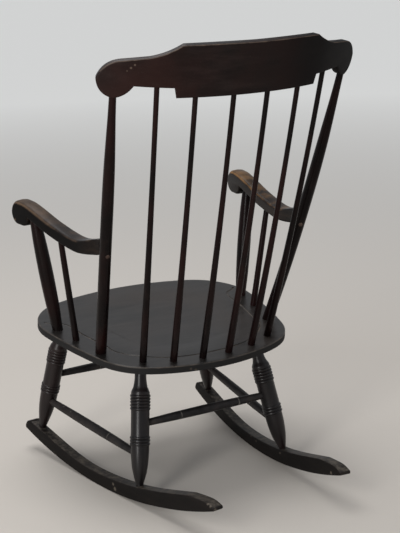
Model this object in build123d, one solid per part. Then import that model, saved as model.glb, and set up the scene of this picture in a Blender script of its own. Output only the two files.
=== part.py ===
from build123d import *
import os
from math import asin, cos, radians, sin, sqrt

# A spindle-back rocking chair of turned and sawn wood, in millimetres.
# +Z is up, the sitter faces -Y and their left is +X. While the pieces are made, the origin
# lies on the floor at the line where the rockers touch it.

os.makedirs("parts", exist_ok=True)

# Fits
socket_gap = 0.05
joint_gap = 0.15
socket_end_gap = 1

# Rockers: arcs that stand on edge and close in towards the back
rocker_radius = 1105
rocker_thickness = 27
rocker_spacing = 421
rocker_toe_in = 6.27
rocker_front_reach = 340.6
rocker_rear_reach = 435.4
rocker_front_height = 31
rocker_waist_height = 28
rocker_rear_height = 35.5
rocker_leg_front_height = 30.5
rocker_leg_rear_height = 33.5
rocker_tip_length = 84
rocker_tip_rise = 23
rocker_nose_length = 24
rocker_nose_rise = 17
rocker_nose_lean = 3

# Seat board: a shield outline with an undercut rim, that falls towards the back
seat_height = 342.6
seat_offset = -26.4
seat_tilt = 6.8
seat_front = 279
seat_back = 225
seat_front_width = 576
seat_back_width = 450
seat_front_bow = 74
seat_back_bow = 65
seat_side_bow = 13.5
seat_corner_radius = 143
seat_thickness = 32
seat_rim_depth = 16
seat_undercut = 44
seat_rim_bevel = 2.5

# Legs: one turned pattern, cut longer at the foot in front; the necks run on to the seat
leg_rear_across = 153
leg_rear_back = 121.5
leg_front_across = 194
leg_front_back = -190
leg_rear_station = 145
leg_front_station = -286
leg_front_extra = 7
leg_foot_diameter = 17
leg_foot_tenon = 22
leg_foot_shoulder = 2
leg_ankle_diameter = 33
leg_ankle_height = 33
leg_swell_diameter = 40
leg_swell_height = 62
leg_valley_diameter = 42
leg_bead_diameter = 45.8
leg_bead_pitch = 7.1
leg_lower_beads = 3
leg_lower_bead_start = 90
leg_upper_beads = 5
leg_upper_bead_start = 169
leg_cove_length = 34
leg_throat_diameter = 32
leg_neck_diameter = 26
leg_seat_tenon = 20

# Stretchers
stretcher_end_diameter = 13.5
stretcher_middle_diameter = 16.6
stretcher_tenon_inset = 5
rear_stretcher_station = 137
front_stretcher_station = 141
side_stretcher_rear_station = 70
side_stretcher_front_station = 75

# Crest rail: a bent board with scrolled ears, set on a recline
crest_offset = 332.5
crest_height = 919.6
crest_recline = 15.2
crest_bend_radius = 565
crest_thickness = 19
crest_half_width = 311
crest_bottom_arch = 4
crest_step_across = 168
crest_step_height = 21
crest_step_slope = 5
crest_hook_across = 244
crest_hook_sag = 5.3
crest_ear_across = 279.5
crest_ear_drop = 7.5
crest_ear_low_bulge = 10
crest_ear_rise = 32
crest_ear_high_bulge = 9
crest_ear_top_across = 270
crest_ear_top = 72
crest_saddle_across = 219
crest_saddle_height = 81.5
crest_saddle_sag = 3.2
crest_shoulder_across = 160
crest_shoulder_height = 110
crest_crown_height = 114.5
crest_crown_bulge = 1.7

# Back posts and spindles
post_across = 224
post_back = 65.4
post_head_across = 279.5
post_bow = 8
post_foot_diameter = 25
post_middle_diameter = 26.2
post_head_diameter = 15
post_tenon_diameter = 12
post_shoulder_cope = 8
spindle_feet_across = [34, 102.6, 164.6]
spindle_feet_back = [192, 180, 152.5]
spindle_heads_across = [40.8, 124.3, 202]
spindle_bow = 6
spindle_foot_diameter = 16.6
spindle_head_diameter = 11
seat_tenon = 16
crest_tenon = 24

# Arms: sawn to a serpentine side outline with a scrolled hand rest. Heights are tops, and
# stations run forward from the arm's joint with the back post
arm_height = 603.5
arm_rear_out = 10
arm_rear_ahead = 24.4
arm_splay = 6.5
arm_outer_reach = 18
arm_inner_reach = 20.5
arm_end_reach = 6
arm_end_taper = 62
arm_end_rise = 9
arm_end_depth = 33.5
arm_tail = 34
arm_tail_rise = 6
arm_tail_inset = 12
arm_depth = 27
arm_dip_station = 66
arm_waist_station = 158.5
arm_waist_share = 0.43
arm_rise = 38.1
arm_rise_station = 235
scroll_station = 300
scroll_drop = 14.6
scroll_radius = 25
scroll_flat = 8
scroll_fall = 1
scroll_heel = 4
scroll_lip_station = 275
scroll_notch_station = 257
scroll_notch_rise = 6
scroll_notch_round = 3

# Arm supports
arm_post_across = 252
arm_post_back = -98
arm_post_station = 251
arm_post_end_diameter = 24.4
arm_post_middle_diameter = 33
arm_post_tenon = 17
arm_spindle_across = 241.5
arm_spindle_back = -23.5
arm_spindle_station = 146
arm_spindle_head_diameter = 12.5
arm_spindle_middle_diameter = 14.2
arm_spindle_foot_diameter = 15.8


# Frames that the pieces are placed from

seat_plane = Plane(
    origin=(0, seat_offset, seat_height),
    x_dir=(1, 0, 0),
    z_dir=(0, sin(radians(seat_tilt)), cos(radians(seat_tilt))),
)
crest_plane = Plane(
    origin=(0, crest_offset, crest_height),
    x_dir=(1, 0, 0),
    z_dir=(0, sin(radians(crest_recline)), cos(radians(crest_recline))),
)
rocker_plane = Plane(
    origin=(rocker_spacing / 2, 0, 0),
    x_dir=(-sin(radians(rocker_toe_in)), cos(radians(rocker_toe_in)), 0),
    z_dir=(cos(radians(rocker_toe_in)), sin(radians(rocker_toe_in)), 0),
)


def seat_point(across, back, depth=0):
    return seat_plane.from_local_coords(Vector(across, back, -depth))


def crest_point(across, height):
    bend = sqrt(crest_bend_radius**2 - across**2) - crest_bend_radius
    return crest_plane.from_local_coords(Vector(across, bend, height))


def crest_turn(across):
    # How far the bent board has turned at this place
    return asin(across / crest_bend_radius)


def crest_outward(across):
    # The way the back of the crest faces at this place
    turn = crest_turn(across)
    return crest_point(0, 0) - crest_plane.from_local_coords(Vector(-sin(turn), -cos(turn), 0))


# The line from foot to head of a back post, and the arm's frame beside it
post_foot = seat_point(post_across, post_back)
post_head = crest_point(post_head_across, -crest_ear_drop)
post_share = (arm_height - post_foot.Z) / (post_head.Z - post_foot.Z)
arm_joint = post_foot + (post_head - post_foot) * post_share
arm_plane = Plane(
    origin=(arm_joint.X + arm_rear_out, arm_joint.Y - arm_rear_ahead, 0),
    x_dir=(sin(radians(arm_splay)), -cos(radians(arm_splay)), 0),
    z_dir=(-cos(radians(arm_splay)), -sin(radians(arm_splay)), 0),
)


def rocker_arc_point(station, height):
    angle = station / rocker_radius
    reach = rocker_radius - height
    return (reach * sin(angle), rocker_radius - reach * cos(angle))


def rocker_point(station, height):
    along, up = rocker_arc_point(station, height)
    return rocker_plane.from_local_coords(Vector(along, up, 0))


def arm_point(station, height):
    return arm_plane.from_local_coords(Vector(station, height, 0))


def between(start, end, distance):
    return start + (end - start).normalized() * distance


def other_side(point):
    return Vector(-point.X, point.Y, point.Z)


def both_sides(axes):
    return axes + [(other_side(axis[0]), other_side(axis[1]), *axis[2:]) for axis in axes]


# Turned work

def revolved(start, end, lines):
    # Lines run through half diameters and heights above start
    face = Plane.XZ * make_face(Curve() + lines)
    return Plane(origin=start, z_dir=end - start) * revolve(face, Axis.Z)


def rod(start, end, low, high, diameter):
    cylinder = Cylinder(diameter / 2, high - low, align=(Align.CENTER, Align.CENTER, Align.MIN))
    return Plane(origin=start, z_dir=end - start) * Pos(0, 0, low) * cylinder


def socket(start, end, depth, diameter):
    # A blind hole that opens at start and runs away from end, with room at its bottom
    reach = depth + socket_end_gap
    return rod(start, end, -reach, reach, diameter + 2 * socket_gap)


def swelled(foot, head, tenons, diameters):
    # Fuller or thinner in the middle, and run on straight into its sockets
    length = (head - foot).length
    foot_end = -tenons[0]
    head_end = length + tenons[1]
    low, middle, high = [diameter / 2 for diameter in diameters]
    low_run = (low, 2 / 3 * low)
    high_run = (high, length - 2 / 3 * high)
    return revolved(foot, head, [
        Polyline(low_run, (low, foot_end), (0, foot_end), (0, head_end), (high, head_end), high_run),
        Spline(
            low_run,
            (0.3 * low + 0.7 * middle, 0.22 * length),
            (middle, 0.5 * length),
            (0.3 * high + 0.7 * middle, 0.78 * length),
            high_run,
            tangents=[(0, 1), (0, 1)],
        ),
    ])


def bowed(foot, head, bow, outward):
    return ThreePointArc(foot, (foot + head) / 2 + outward * bow, head)


def tapered(path, foot_tenon, head_tenon, diameters):
    # Diameters are given by their place along the path, from 0 at its foot to 1 at its head.
    # The tenons run straight on from the end diameters
    foot = path @ 0 - path % 0 * foot_tenon
    head = path @ 1 + path % 1 * head_tenon
    sections = [Plane(origin=foot, z_dir=path % 0) * Circle(diameters[0][1] / 2)]
    for place, diameter in diameters:
        sections.append(Plane(origin=path @ place, z_dir=path % place) * Circle(diameter / 2))
    sections.append(Plane(origin=head, z_dir=path % 1) * Circle(diameters[-1][1] / 2))
    return loft(sections, ruled=True)


def ends(path):
    # Each end of a bent piece, with a point further along inside it
    return (path @ 0, path @ 0 + path % 0), (path @ 1, path @ 1 - path % 1)


# Rockers

def rocker_outline():
    front = rocker_arc_point(-rocker_front_reach, 0)
    nose = rocker_arc_point(rocker_nose_lean - rocker_front_reach, rocker_nose_rise)
    front_top = rocker_arc_point(rocker_nose_length - rocker_front_reach, rocker_front_height)
    rear = rocker_arc_point(rocker_rear_reach, 0)
    tip = rocker_arc_point(rocker_rear_reach - rocker_tip_length / 3, rocker_tip_rise)
    rear_top = rocker_arc_point(rocker_rear_reach - rocker_tip_length, rocker_rear_height)
    top = Spline(
        front_top,
        rocker_arc_point(leg_front_station, rocker_leg_front_height),
        rocker_arc_point((leg_front_station + leg_rear_station) / 2, rocker_waist_height),
        rocker_arc_point(leg_rear_station, rocker_leg_rear_height),
        rear_top,
    )
    return Curve() + [
        ThreePointArc(front, (0, 0), rear),
        ThreePointArc(rear, tip, rear_top),
        top,
        ThreePointArc(front_top, nose, front),
    ]


def make_rocker(leg_axes):
    blade = extrude(rocker_plane * make_face(rocker_outline()), rocker_thickness / 2, both=True)
    low = -leg_foot_tenon / 2 - socket_end_gap
    for foot, head in leg_axes:
        blade -= rod(foot, head, low, leg_foot_tenon, leg_foot_diameter + 2 * socket_gap)
    return blade


# Legs

def leg_axis(across, back, station, rocker_height):
    foot = rocker_point(station, rocker_height - leg_foot_tenon / 2)
    return foot, seat_point(across, back, seat_thickness)


def bead_band(start, count):
    # The beads of one group stand on a band that is chamfered into the barrel
    end = start + count * leg_bead_pitch
    return [
        (leg_valley_diameter / 2, start),
        (leg_bead_diameter / 2, start + leg_bead_pitch / 2),
        (leg_bead_diameter / 2, end - leg_bead_pitch / 2),
        (leg_valley_diameter / 2, end),
    ]


def leg_outline(length, extra):
    # Heights are from the middle of the foot tenon
    foot = leg_foot_tenon / 2
    lower = foot + extra + leg_lower_bead_start
    upper = foot + extra + leg_upper_bead_start
    neck = upper + leg_upper_beads * leg_bead_pitch + leg_cove_length
    top = length + leg_seat_tenon
    shoulder = (leg_foot_diameter / 2, foot + leg_foot_shoulder)
    lower_band = bead_band(lower, leg_lower_beads)
    upper_band = bead_band(upper, leg_upper_beads)
    return [
        Polyline((0, top), (0, -foot), (leg_foot_diameter / 2, -foot), shoulder),
        Spline(
            shoulder,
            (leg_ankle_diameter / 2, foot + extra + leg_ankle_height),
            (leg_swell_diameter / 2, foot + extra + leg_swell_height),
            lower_band[0],
        ),
        Polyline(*lower_band, *upper_band),
        Polyline(
            upper_band[-1],
            (leg_throat_diameter / 2, neck - leg_cove_length / 2),
            (leg_neck_diameter / 2, neck),
            (leg_neck_diameter / 2, top),
            (0, top),
        ),
    ]


def leg_station(axis, station):
    return between(axis[0], axis[1], station + leg_foot_tenon / 2)


def make_leg(axis, stretchers, extra=0):
    foot, head = axis
    leg = revolved(foot, head, leg_outline((head - foot).length, extra))
    for near, far in stretchers:
        low = stretcher_tenon_inset - socket_end_gap
        leg -= rod(near, far, low, leg_bead_diameter, stretcher_end_diameter + 2 * socket_gap)
    return leg


# Stretchers

def make_stretcher(start, end):
    wall = leg_bead_diameter / 2
    tenon = wall - stretcher_tenon_inset
    near = between(start, end, wall)
    far = between(end, start, wall)
    thin = stretcher_end_diameter
    return swelled(near, far, (tenon, tenon), (thin, stretcher_middle_diameter, thin))


# Seat board

def seat_outline():
    front_half = seat_front_width / 2
    back_half = seat_back_width / 2
    front_side = seat_front_bow - seat_front
    back_side = seat_back - seat_back_bow
    middle = (front_side + back_side) / 2
    bulge = (front_half + back_half) / 2 + seat_side_bow
    face = make_face(Curve() + [
        ThreePointArc((-front_half, front_side), (0, -seat_front), (front_half, front_side)),
        ThreePointArc((front_half, front_side), (bulge, middle), (back_half, back_side)),
        ThreePointArc((back_half, back_side), (0, seat_back), (-back_half, back_side)),
        ThreePointArc((-back_half, back_side), (-bulge, middle), (-front_half, front_side)),
    ])
    return fillet(face.vertices(), seat_corner_radius)


def make_seat(leg_axes, upright_axes):
    board = extrude(seat_outline(), -seat_thickness)
    top = board.faces().sort_by(Axis.Z)[-1]
    board = chamfer(top.outer_wire().edges(), seat_rim_bevel)
    under = board.faces().sort_by(Axis.Z)[0]
    undercut_height = seat_thickness - seat_rim_depth
    board = chamfer(under.outer_wire().edges(), seat_undercut, undercut_height, reference=under)
    board = seat_plane * board
    for foot, head in leg_axes:
        board -= socket(head, foot, leg_seat_tenon, leg_neck_diameter)
    for foot, above, diameter in upright_axes:
        board -= socket(foot, above, seat_tenon, diameter)
    return board


# Crest rail

def crest_half_outline():
    # Drawn square to the bent board at its ear
    turn = crest_turn(crest_ear_across)

    def at(across, height):
        bend = crest_bend_radius - sqrt(crest_bend_radius**2 - across**2)
        return (across * cos(turn) + bend * sin(turn), height)

    past_middle = -crest_thickness
    arch = at(0, crest_bottom_arch)
    step_low = at(crest_step_across - crest_step_slope, 0)
    step_high = at(crest_step_across, crest_step_height)
    hook = at(crest_hook_across, crest_step_height)
    ear_low = at(crest_ear_across, -crest_ear_drop)
    ear_side = at(crest_half_width, crest_ear_rise)
    ear_high = at(crest_ear_top_across, crest_ear_top)
    saddle = at(crest_saddle_across, crest_saddle_height)
    shoulder = at(crest_shoulder_across, crest_shoulder_height)
    crown = at(0, crest_crown_height)
    return Curve() + [
        Polyline((past_middle, crest_crown_height), (past_middle, crest_bottom_arch), arch),
        TangentArc(arch, step_low, tangent=(1, 0)),
        Polyline(step_low, step_high, hook),
        SagittaArc(hook, ear_low, -crest_hook_sag),
        SagittaArc(ear_low, ear_side, -crest_ear_low_bulge),
        SagittaArc(ear_side, ear_high, -crest_ear_high_bulge),
        Line(ear_high, saddle),
        SagittaArc(saddle, shoulder, crest_saddle_sag),
        SagittaArc(shoulder, crown, -crest_crown_bulge),
        Line(crown, (past_middle, crest_crown_height)),
    ]


def make_crest_blank():
    outer = crest_bend_radius + crest_thickness / 2
    inner = crest_bend_radius - crest_thickness / 2
    ring = Pos(0, -crest_bend_radius) * (Circle(outer) - Circle(inner))
    quarter = ring & Pos(outer / 2, -outer / 2) * Rectangle(outer, 2 * outer)
    bent = Pos(0, 0, -crest_thickness) * extrude(quarter, crest_crown_height + 2 * crest_thickness)
    turn = crest_turn(crest_ear_across)
    saw_plane = Plane(
        origin=(0, 0, 0), x_dir=(cos(turn), -sin(turn), 0), z_dir=(-sin(turn), -cos(turn), 0)
    )
    sawn = extrude(saw_plane * make_face(crest_half_outline()), crest_half_width, both=True)
    half = bent & sawn
    return crest_plane * (half + mirror(half, about=Plane.YZ))


def make_crest(blank, spindle_axes, post_axes):
    rail = blank
    for head, below, diameter in spindle_axes + post_axes:
        rail -= socket(head, below, crest_tenon, diameter)
    return rail


# Back posts and spindles

def post_body(path, clearance=0):
    taper = post_middle_diameter - post_head_diameter
    places = [
        (0, post_foot_diameter),
        (0.35, post_middle_diameter),
        (0.6, post_middle_diameter),
        (0.8, post_head_diameter + 0.7 * taper),
        (0.93, post_head_diameter + 0.2 * taper),
        (1, post_head_diameter),
    ]
    cleared = [(place, diameter + 2 * clearance) for place, diameter in places]
    return tapered(path, seat_tenon, post_shoulder_cope, cleared)


def make_post(path, crest_blank):
    post = post_body(path) - crest_blank
    return post + rod(*ends(path)[1], -crest_tenon, post_shoulder_cope, post_tenon_diameter)


def make_spindle(path):
    fall = spindle_foot_diameter - spindle_head_diameter
    return tapered(path, seat_tenon, crest_tenon, [
        (0, spindle_foot_diameter),
        (0.35, spindle_head_diameter + 0.5 * fall),
        (0.7, spindle_head_diameter + 0.1 * fall),
        (1, spindle_head_diameter),
    ])


# Arms

def arm_side_outline():
    low = arm_height - arm_depth
    scroll_height = arm_height + arm_rise - scroll_drop
    lip = (scroll_lip_station, scroll_height - scroll_radius)
    crown = (scroll_station - scroll_flat, scroll_height + scroll_radius - scroll_fall)
    nose = (scroll_station + scroll_radius, scroll_height)
    heel = (scroll_station - scroll_heel, scroll_height - scroll_radius)
    notch = (scroll_notch_station, low + arm_rise + scroll_notch_rise)
    hollow = (scroll_notch_station + scroll_notch_round, (lip[1] + notch[1]) / 2)
    joint_top = arm_height + arm_end_rise
    joint_low = joint_top - arm_end_depth
    top_tail = (-arm_tail, joint_top + arm_tail_rise)
    low_tail = (-arm_tail, joint_low + arm_tail_rise)
    top = Spline(
        top_tail,
        (0, joint_top),
        (arm_dip_station, arm_height),
        (arm_waist_station, arm_height + arm_waist_share * arm_rise),
        (arm_rise_station, arm_height + arm_rise),
        crown,
        tangents=[(1, -0.15), (1, 0.03)],
    )
    under = Spline(
        notch,
        (arm_rise_station, low + arm_rise),
        (arm_waist_station, low + arm_waist_share * arm_rise),
        (arm_dip_station, low),
        (0, joint_low),
        low_tail,
        tangents=[(-1, -0.22), (-1, 0.2)],
    )
    return Curve() + [
        top,
        ThreePointArc(crown, nose, heel),
        Line(heel, lip),
        ThreePointArc(lip, hollow, notch),
        under,
        Line(low_tail, top_tail),
    ]


def arm_plan_outline():
    # Seen from above, with the inner side of the arm at positive heights
    front = scroll_station + 2 * scroll_radius
    outer = -arm_outer_reach
    tail = (-arm_tail, arm_end_reach - arm_tail_inset)
    taper = (arm_end_taper, arm_inner_reach)
    return Curve() + [
        Polyline(tail, (-arm_tail, outer), (front, outer), (front, arm_inner_reach), taper),
        Spline(
            taper,
            (0.45 * arm_end_taper, 0.25 * arm_end_reach + 0.75 * arm_inner_reach),
            (0, arm_end_reach),
            tail,
            tangents=[(-1, 0), (-1, -0.3)],
        ),
    ]


def make_arm(post_path, supports):
    plan_plane = Plane(origin=arm_plane.origin, x_dir=arm_plane.x_dir, z_dir=(0, 0, -1))
    side = extrude(arm_plane * make_face(arm_side_outline()), 2 * arm_inner_reach, both=True)
    plan = extrude(plan_plane * make_face(arm_plan_outline()), -2 * arm_height)
    arm = (side & plan) - post_body(post_path, joint_gap)
    arm = arm.solids().sort_by(SortBy.VOLUME)[-1]
    for foot, head, diameter in supports:
        arm -= socket(head, foot, arm_post_tenon, diameter)
    return arm


def arm_underside(station):
    # A point inside the arm's lower face, for the supports that enter there
    span = max(0, station - arm_dip_station) / (arm_rise_station - arm_dip_station)
    return arm_point(station, arm_height - arm_depth + arm_rise * span)


def mirrored(piece):
    return mirror(piece, about=Plane.YZ)


def spindle_path(foot_across, foot_back, head_across):
    lift = crest_step_height if head_across > crest_step_across else crest_bottom_arch / 2
    head = crest_point(head_across, lift)
    return bowed(seat_point(foot_across, foot_back), head, spindle_bow, crest_outward(head_across))


def chair():
    rear_leg = leg_axis(leg_rear_across, leg_rear_back, leg_rear_station, rocker_leg_rear_height)
    front_leg = leg_axis(
        leg_front_across, leg_front_back, leg_front_station, rocker_leg_front_height
    )
    rear_cross = leg_station(rear_leg, rear_stretcher_station)
    front_cross = leg_station(front_leg, front_stretcher_station)
    side_rear = leg_station(rear_leg, side_stretcher_rear_station)
    side_front = leg_station(front_leg, side_stretcher_front_station)

    post = bowed(post_foot, post_head, post_bow, crest_outward(post_head_across))
    spindles = [
        spindle_path(*places)
        for places in zip(spindle_feet_across, spindle_feet_back, spindle_heads_across)
    ]
    arm_post = (seat_point(arm_post_across, arm_post_back), arm_underside(arm_post_station))
    arm_spindle = (
        seat_point(arm_spindle_across, arm_spindle_back), arm_underside(arm_spindle_station)
    )

    uprights = [(*ends(path)[0], spindle_foot_diameter) for path in spindles]
    uprights.append((*ends(post)[0], post_foot_diameter))
    uprights.append((*arm_post, arm_post_end_diameter))
    uprights.append((*arm_spindle, arm_spindle_foot_diameter))
    spindle_heads = [(*ends(path)[1], spindle_head_diameter) for path in spindles]
    post_heads = [(*ends(post)[1], post_tenon_diameter)]
    blank = make_crest_blank()

    pieces = {
        "seat": make_seat(both_sides([rear_leg, front_leg]), both_sides(uprights)),
        "crest_rail": make_crest(blank, both_sides(spindle_heads), both_sides(post_heads)),
        "stretcher_rear": make_stretcher(rear_cross, other_side(rear_cross)),
        "stretcher_front": make_stretcher(front_cross, other_side(front_cross)),
    }
    rear_holes = [(rear_cross, other_side(rear_cross)), (side_rear, side_front)]
    front_holes = [(front_cross, other_side(front_cross)), (side_front, side_rear)]
    arm_holes = [
        (*arm_post, arm_post_end_diameter), (*arm_spindle, arm_spindle_head_diameter)
    ]
    pairs = {
        "rocker": make_rocker([rear_leg, front_leg]),
        "leg_rear": make_leg(rear_leg, rear_holes),
        "leg_front": make_leg(front_leg, front_holes, leg_front_extra),
        "stretcher_side": make_stretcher(side_rear, side_front),
        "back_post": make_post(post, blank),
        "arm": make_arm(post, arm_holes),
        "arm_post": swelled(
            *arm_post,
            (seat_tenon, arm_post_tenon),
            (arm_post_end_diameter, arm_post_middle_diameter, arm_post_end_diameter),
        ),
        "arm_spindle": swelled(
            *arm_spindle,
            (seat_tenon, arm_post_tenon),
            (arm_spindle_foot_diameter, arm_spindle_middle_diameter, arm_spindle_head_diameter),
        ),
        "spindle_inner": make_spindle(spindles[0]),
        "spindle_middle": make_spindle(spindles[1]),
        "spindle_outer": make_spindle(spindles[2]),
    }
    for name, piece in pairs.items():
        pieces[name + "_left"] = piece
        pieces[name + "_right"] = mirrored(piece)
    return pieces


pieces = chair()
front = min(piece.bounding_box().min.Y for piece in pieces.values())
rear = max(piece.bounding_box().max.Y for piece in pieces.values())
to_middle = Pos(0, -(front + rear) / 2, 0)
for name, piece in pieces.items():
    export_step(to_middle * piece, f"parts/{name}.step")
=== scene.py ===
import math

import bpy
import bmesh
from mathutils import Matrix, Vector


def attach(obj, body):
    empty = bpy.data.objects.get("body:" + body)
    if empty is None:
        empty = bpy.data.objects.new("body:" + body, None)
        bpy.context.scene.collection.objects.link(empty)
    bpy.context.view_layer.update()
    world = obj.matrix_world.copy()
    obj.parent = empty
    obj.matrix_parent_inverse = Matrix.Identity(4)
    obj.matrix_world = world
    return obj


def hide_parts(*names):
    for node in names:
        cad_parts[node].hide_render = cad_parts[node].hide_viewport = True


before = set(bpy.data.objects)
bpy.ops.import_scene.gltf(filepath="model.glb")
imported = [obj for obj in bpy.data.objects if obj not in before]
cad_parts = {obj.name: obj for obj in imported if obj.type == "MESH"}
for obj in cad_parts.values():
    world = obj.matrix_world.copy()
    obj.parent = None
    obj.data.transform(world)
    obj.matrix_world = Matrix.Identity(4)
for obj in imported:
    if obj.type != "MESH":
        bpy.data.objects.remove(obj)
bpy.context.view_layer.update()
print("rocking chair: frame loaded")


def planeAt(origin, xDir, zDir):
    # columns are the plane's x, y and z, so local points go straight into the chair's frame
    x = Vector(xDir).normalized()
    z = Vector(zDir).normalized()
    y = z.cross(x)
    turn = Matrix((x, y, z)).transposed().to_4x4()
    return Matrix.Translation(Vector(origin)) @ turn


def tilt(degrees):
    angle = math.radians(degrees)
    return math.sin(angle), math.cos(angle)


lean = {"seat": 6.8, "crest": 15.2, "rocker": 6.27, "arm": 6.5}    # degrees
contact = -0.044228    # where the rockers meet the floor
seatThickness = 0.032
setting = {
    "seat": (-0.0264, 0.3426), "crest": (0.3325, 0.9196),    # back from the contact, and height
    "rocker": (0.2105, 0), "arm": (0.25898, 0.11343),        # out to the side, and back
}


def leaningPlane(name):
    # the seat and the crest rail lean back
    back, height = setting[name]
    sine, cosine = tilt(lean[name])
    return planeAt((0, contact + back, height), (1, 0, 0), (0, sine, cosine))


seatPlane = leaningPlane("seat")
crestPlane = leaningPlane("crest")
out, back = setting["rocker"]
sine, cosine = tilt(lean["rocker"])
rockerPlane = planeAt((out, contact + back, 0), (-sine, cosine, 0), (cosine, sine, 0))
out, back = setting["arm"]
sine, cosine = tilt(lean["arm"])
armPlane = planeAt((out, contact + back, 0), (sine, -cosine, 0), (-cosine, -sine, 0))


def onSeat(across, back, depth=0):
    return seatPlane @ Vector((across, back, -depth))


def otherSide(point):
    return Vector((-point.x, point.y, point.z))


def pickOnly(piece):
    bpy.ops.object.select_all(action="DESELECT")
    piece.hide_set(False)
    piece.select_set(True)
    bpy.context.view_layer.objects.active = piece


def editAll(piece):
    pickOnly(piece)
    bpy.ops.object.mode_set(mode="EDIT")
    bpy.ops.mesh.select_mode(type="VERT")
    bpy.ops.mesh.select_all(action="SELECT")


def leaveEdit():
    bpy.ops.object.mode_set(mode="OBJECT")


def faceOutwards(piece):
    editAll(piece)
    bpy.ops.mesh.remove_doubles(threshold=0.00001)
    bpy.ops.mesh.normals_make_consistent(inside=False)
    leaveEdit()


def tidyMesh(piece, smoothAngle=38):
    faceOutwards(piece)
    bpy.ops.object.shade_smooth_by_angle(angle=math.radians(smoothAngle))


def pickFaces(piece, wanted):
    # only the wanted faces are selected, and the piece stays in edit mode
    editAll(piece)
    bpy.ops.mesh.select_mode(type="FACE")
    bpy.ops.mesh.select_all(action="DESELECT")
    leaveEdit()
    for face in piece.data.polygons:
        face.select = wanted(face)
    bpy.ops.object.mode_set(mode="EDIT")


def bisectAt(piece, place, facing, clear=False):
    editAll(piece)
    bpy.ops.mesh.bisect(plane_co=place, plane_no=facing, clear_inner=clear)
    leaveEdit()


def sliceAcross(piece, first, step, count):
    for i in range(count):
        bisectAt(piece, (first + step * i, 0, 0), (1, 0, 0))


def applyModifier(piece, kind, **settings):
    pickOnly(piece)
    made = piece.modifiers.new(kind.title(), kind)
    for key, value in settings.items():
        setattr(made, key, value)
    bpy.ops.object.modifier_apply(modifier=made.name)


def curveThrough(points, steps):
    # an even, soft line through the points
    out = []
    last = len(points) - 1
    for i in range(last):
        before = points[max(i - 1, 0)]
        start = points[i]
        stop = points[i + 1]
        after = points[min(i + 2, last)]
        for k in range(steps):
            t = k / steps
            spot = []
            for p, q, r, w in zip(before, start, stop, after):
                spot.append(0.5 * (2 * q + (r - p) * t + (2 * p - 5 * q + 4 * r - w) * t * t
                                   + (3 * q - p - 3 * r + w) * t ** 3))
            out.append(tuple(spot))
    out.append(tuple(points[-1]))
    return out


def bulgeLine(start, stop, bulge, steps=8):
    # a flat arc from start to stop that swells to the left of its run by bulge
    start = Vector(start)
    stop = Vector(stop)
    run = stop - start
    side = Vector((-run.y, run.x)).normalized()
    out = []
    for k in range(steps + 1):
        t = k / steps
        out.append(tuple(start.lerp(stop, t) + side * bulge * 4 * t * (1 - t)))
    return out


def joinRuns(*runs):
    # one outline from several runs, without the points that two runs share
    out = []
    for run in runs:
        for spot in run:
            if not out or (Vector(spot) - Vector(out[-1])).length > 0.00005:
                out.append(tuple(spot))
    return out


def softStep(t):
    return t * t * (3 - 2 * t)


def blend(first, second, share):
    return first + share * (second - first)


def within(value, low=0.0, high=1.0):
    return max(low, min(high, value))


def markPoints(piece, **rules):
    # values from 0 to 1 at each point of the piece
    for name, rule in rules.items():
        marked = piece.data.attributes.new(name, "FLOAT", "POINT")
        for v in piece.data.vertices:
            marked.data[v.index].value = within(rule(v.co, v.normal))


def rimBand(inset, line, reach):
    # strongest a little way in from an edge, and nothing on the flat side itself
    return max(0.0, 1 - abs(inset - line) / reach) if inset > 0.00005 else 0


def turnPiece(name, foot, head, marks, sides=40, bow=0.0, outward=None):
    # marks are (height, radius) from the foot up, and the ring is drawn out and resized at each
    bpy.ops.object.select_all(action="DESELECT")
    bpy.ops.mesh.primitive_circle_add(vertices=sides, radius=marks[0][1], fill_type="NGON")
    piece = bpy.context.object
    piece.name = name
    piece.data.name = name
    bpy.ops.object.mode_set(mode="EDIT")
    bpy.ops.mesh.select_all(action="SELECT")
    bpy.ops.transform.translate(value=(0, 0, marks[0][0]))
    for (z0, r0), (z1, r1) in zip(marks, marks[1:]):
        bpy.ops.mesh.extrude_region_move(TRANSFORM_OT_translate={"value": (0, 0, z1 - z0)})
        bpy.ops.transform.resize(value=(r1 / r0, r1 / r0, 1), center_override=(0, 0, z1))
    leaveEdit()
    run = head - foot
    place = Matrix.Translation(foot) @ run.to_track_quat("Z", "Y").to_matrix().to_4x4()
    if bow:
        side = place.to_3x3().inverted() @ outward
        for v in piece.data.vertices:
            t = v.co.z / run.length
            v.co += side * (4 * bow * t * (1 - t))
    piece.data.transform(place)
    tidyMesh(piece)
    return piece


def evenMarks(length, places, low, high, steps):
    # places are (share of the length, diameter), and tenons run on past both ends
    spots = curveThrough(places, steps)
    marks = [(-low, spots[0][1] / 2)]
    marks += [(share * length, wide / 2) for share, wide in spots]
    marks.append((length + high, spots[-1][1] / 2))
    return marks


def turnBetween(name, foot, head, sizes, tenons, **shape):
    marks = evenMarks((head - foot).length, sizes, *tenons, 4)
    return turnPiece(name, foot, head, marks, **shape)


def mirrored(piece, name):
    twin = piece.copy()
    twin.data = piece.data.copy()
    twin.name = name
    twin.data.name = name
    bpy.context.collection.objects.link(twin)
    twin.data.transform(Matrix.Scale(-1, 4, (1, 0, 0)))
    faceOutwards(twin)
    return twin


def meshOfCurve(name, points, closed, **settings):
    line = bpy.data.curves.new(name, "CURVE")
    for key, value in settings.items():
        setattr(line, key, value)
    run = line.splines.new("POLY")
    run.points.add(len(points) - 1)
    for spot, point in zip(points, run.points):
        point.co = (*spot, 1)
    run.use_cyclic_u = closed
    made = bpy.data.objects.new(name, line)
    bpy.context.collection.objects.link(made)
    pickOnly(made)
    bpy.ops.object.convert(target="MESH")
    return bpy.context.object


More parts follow.
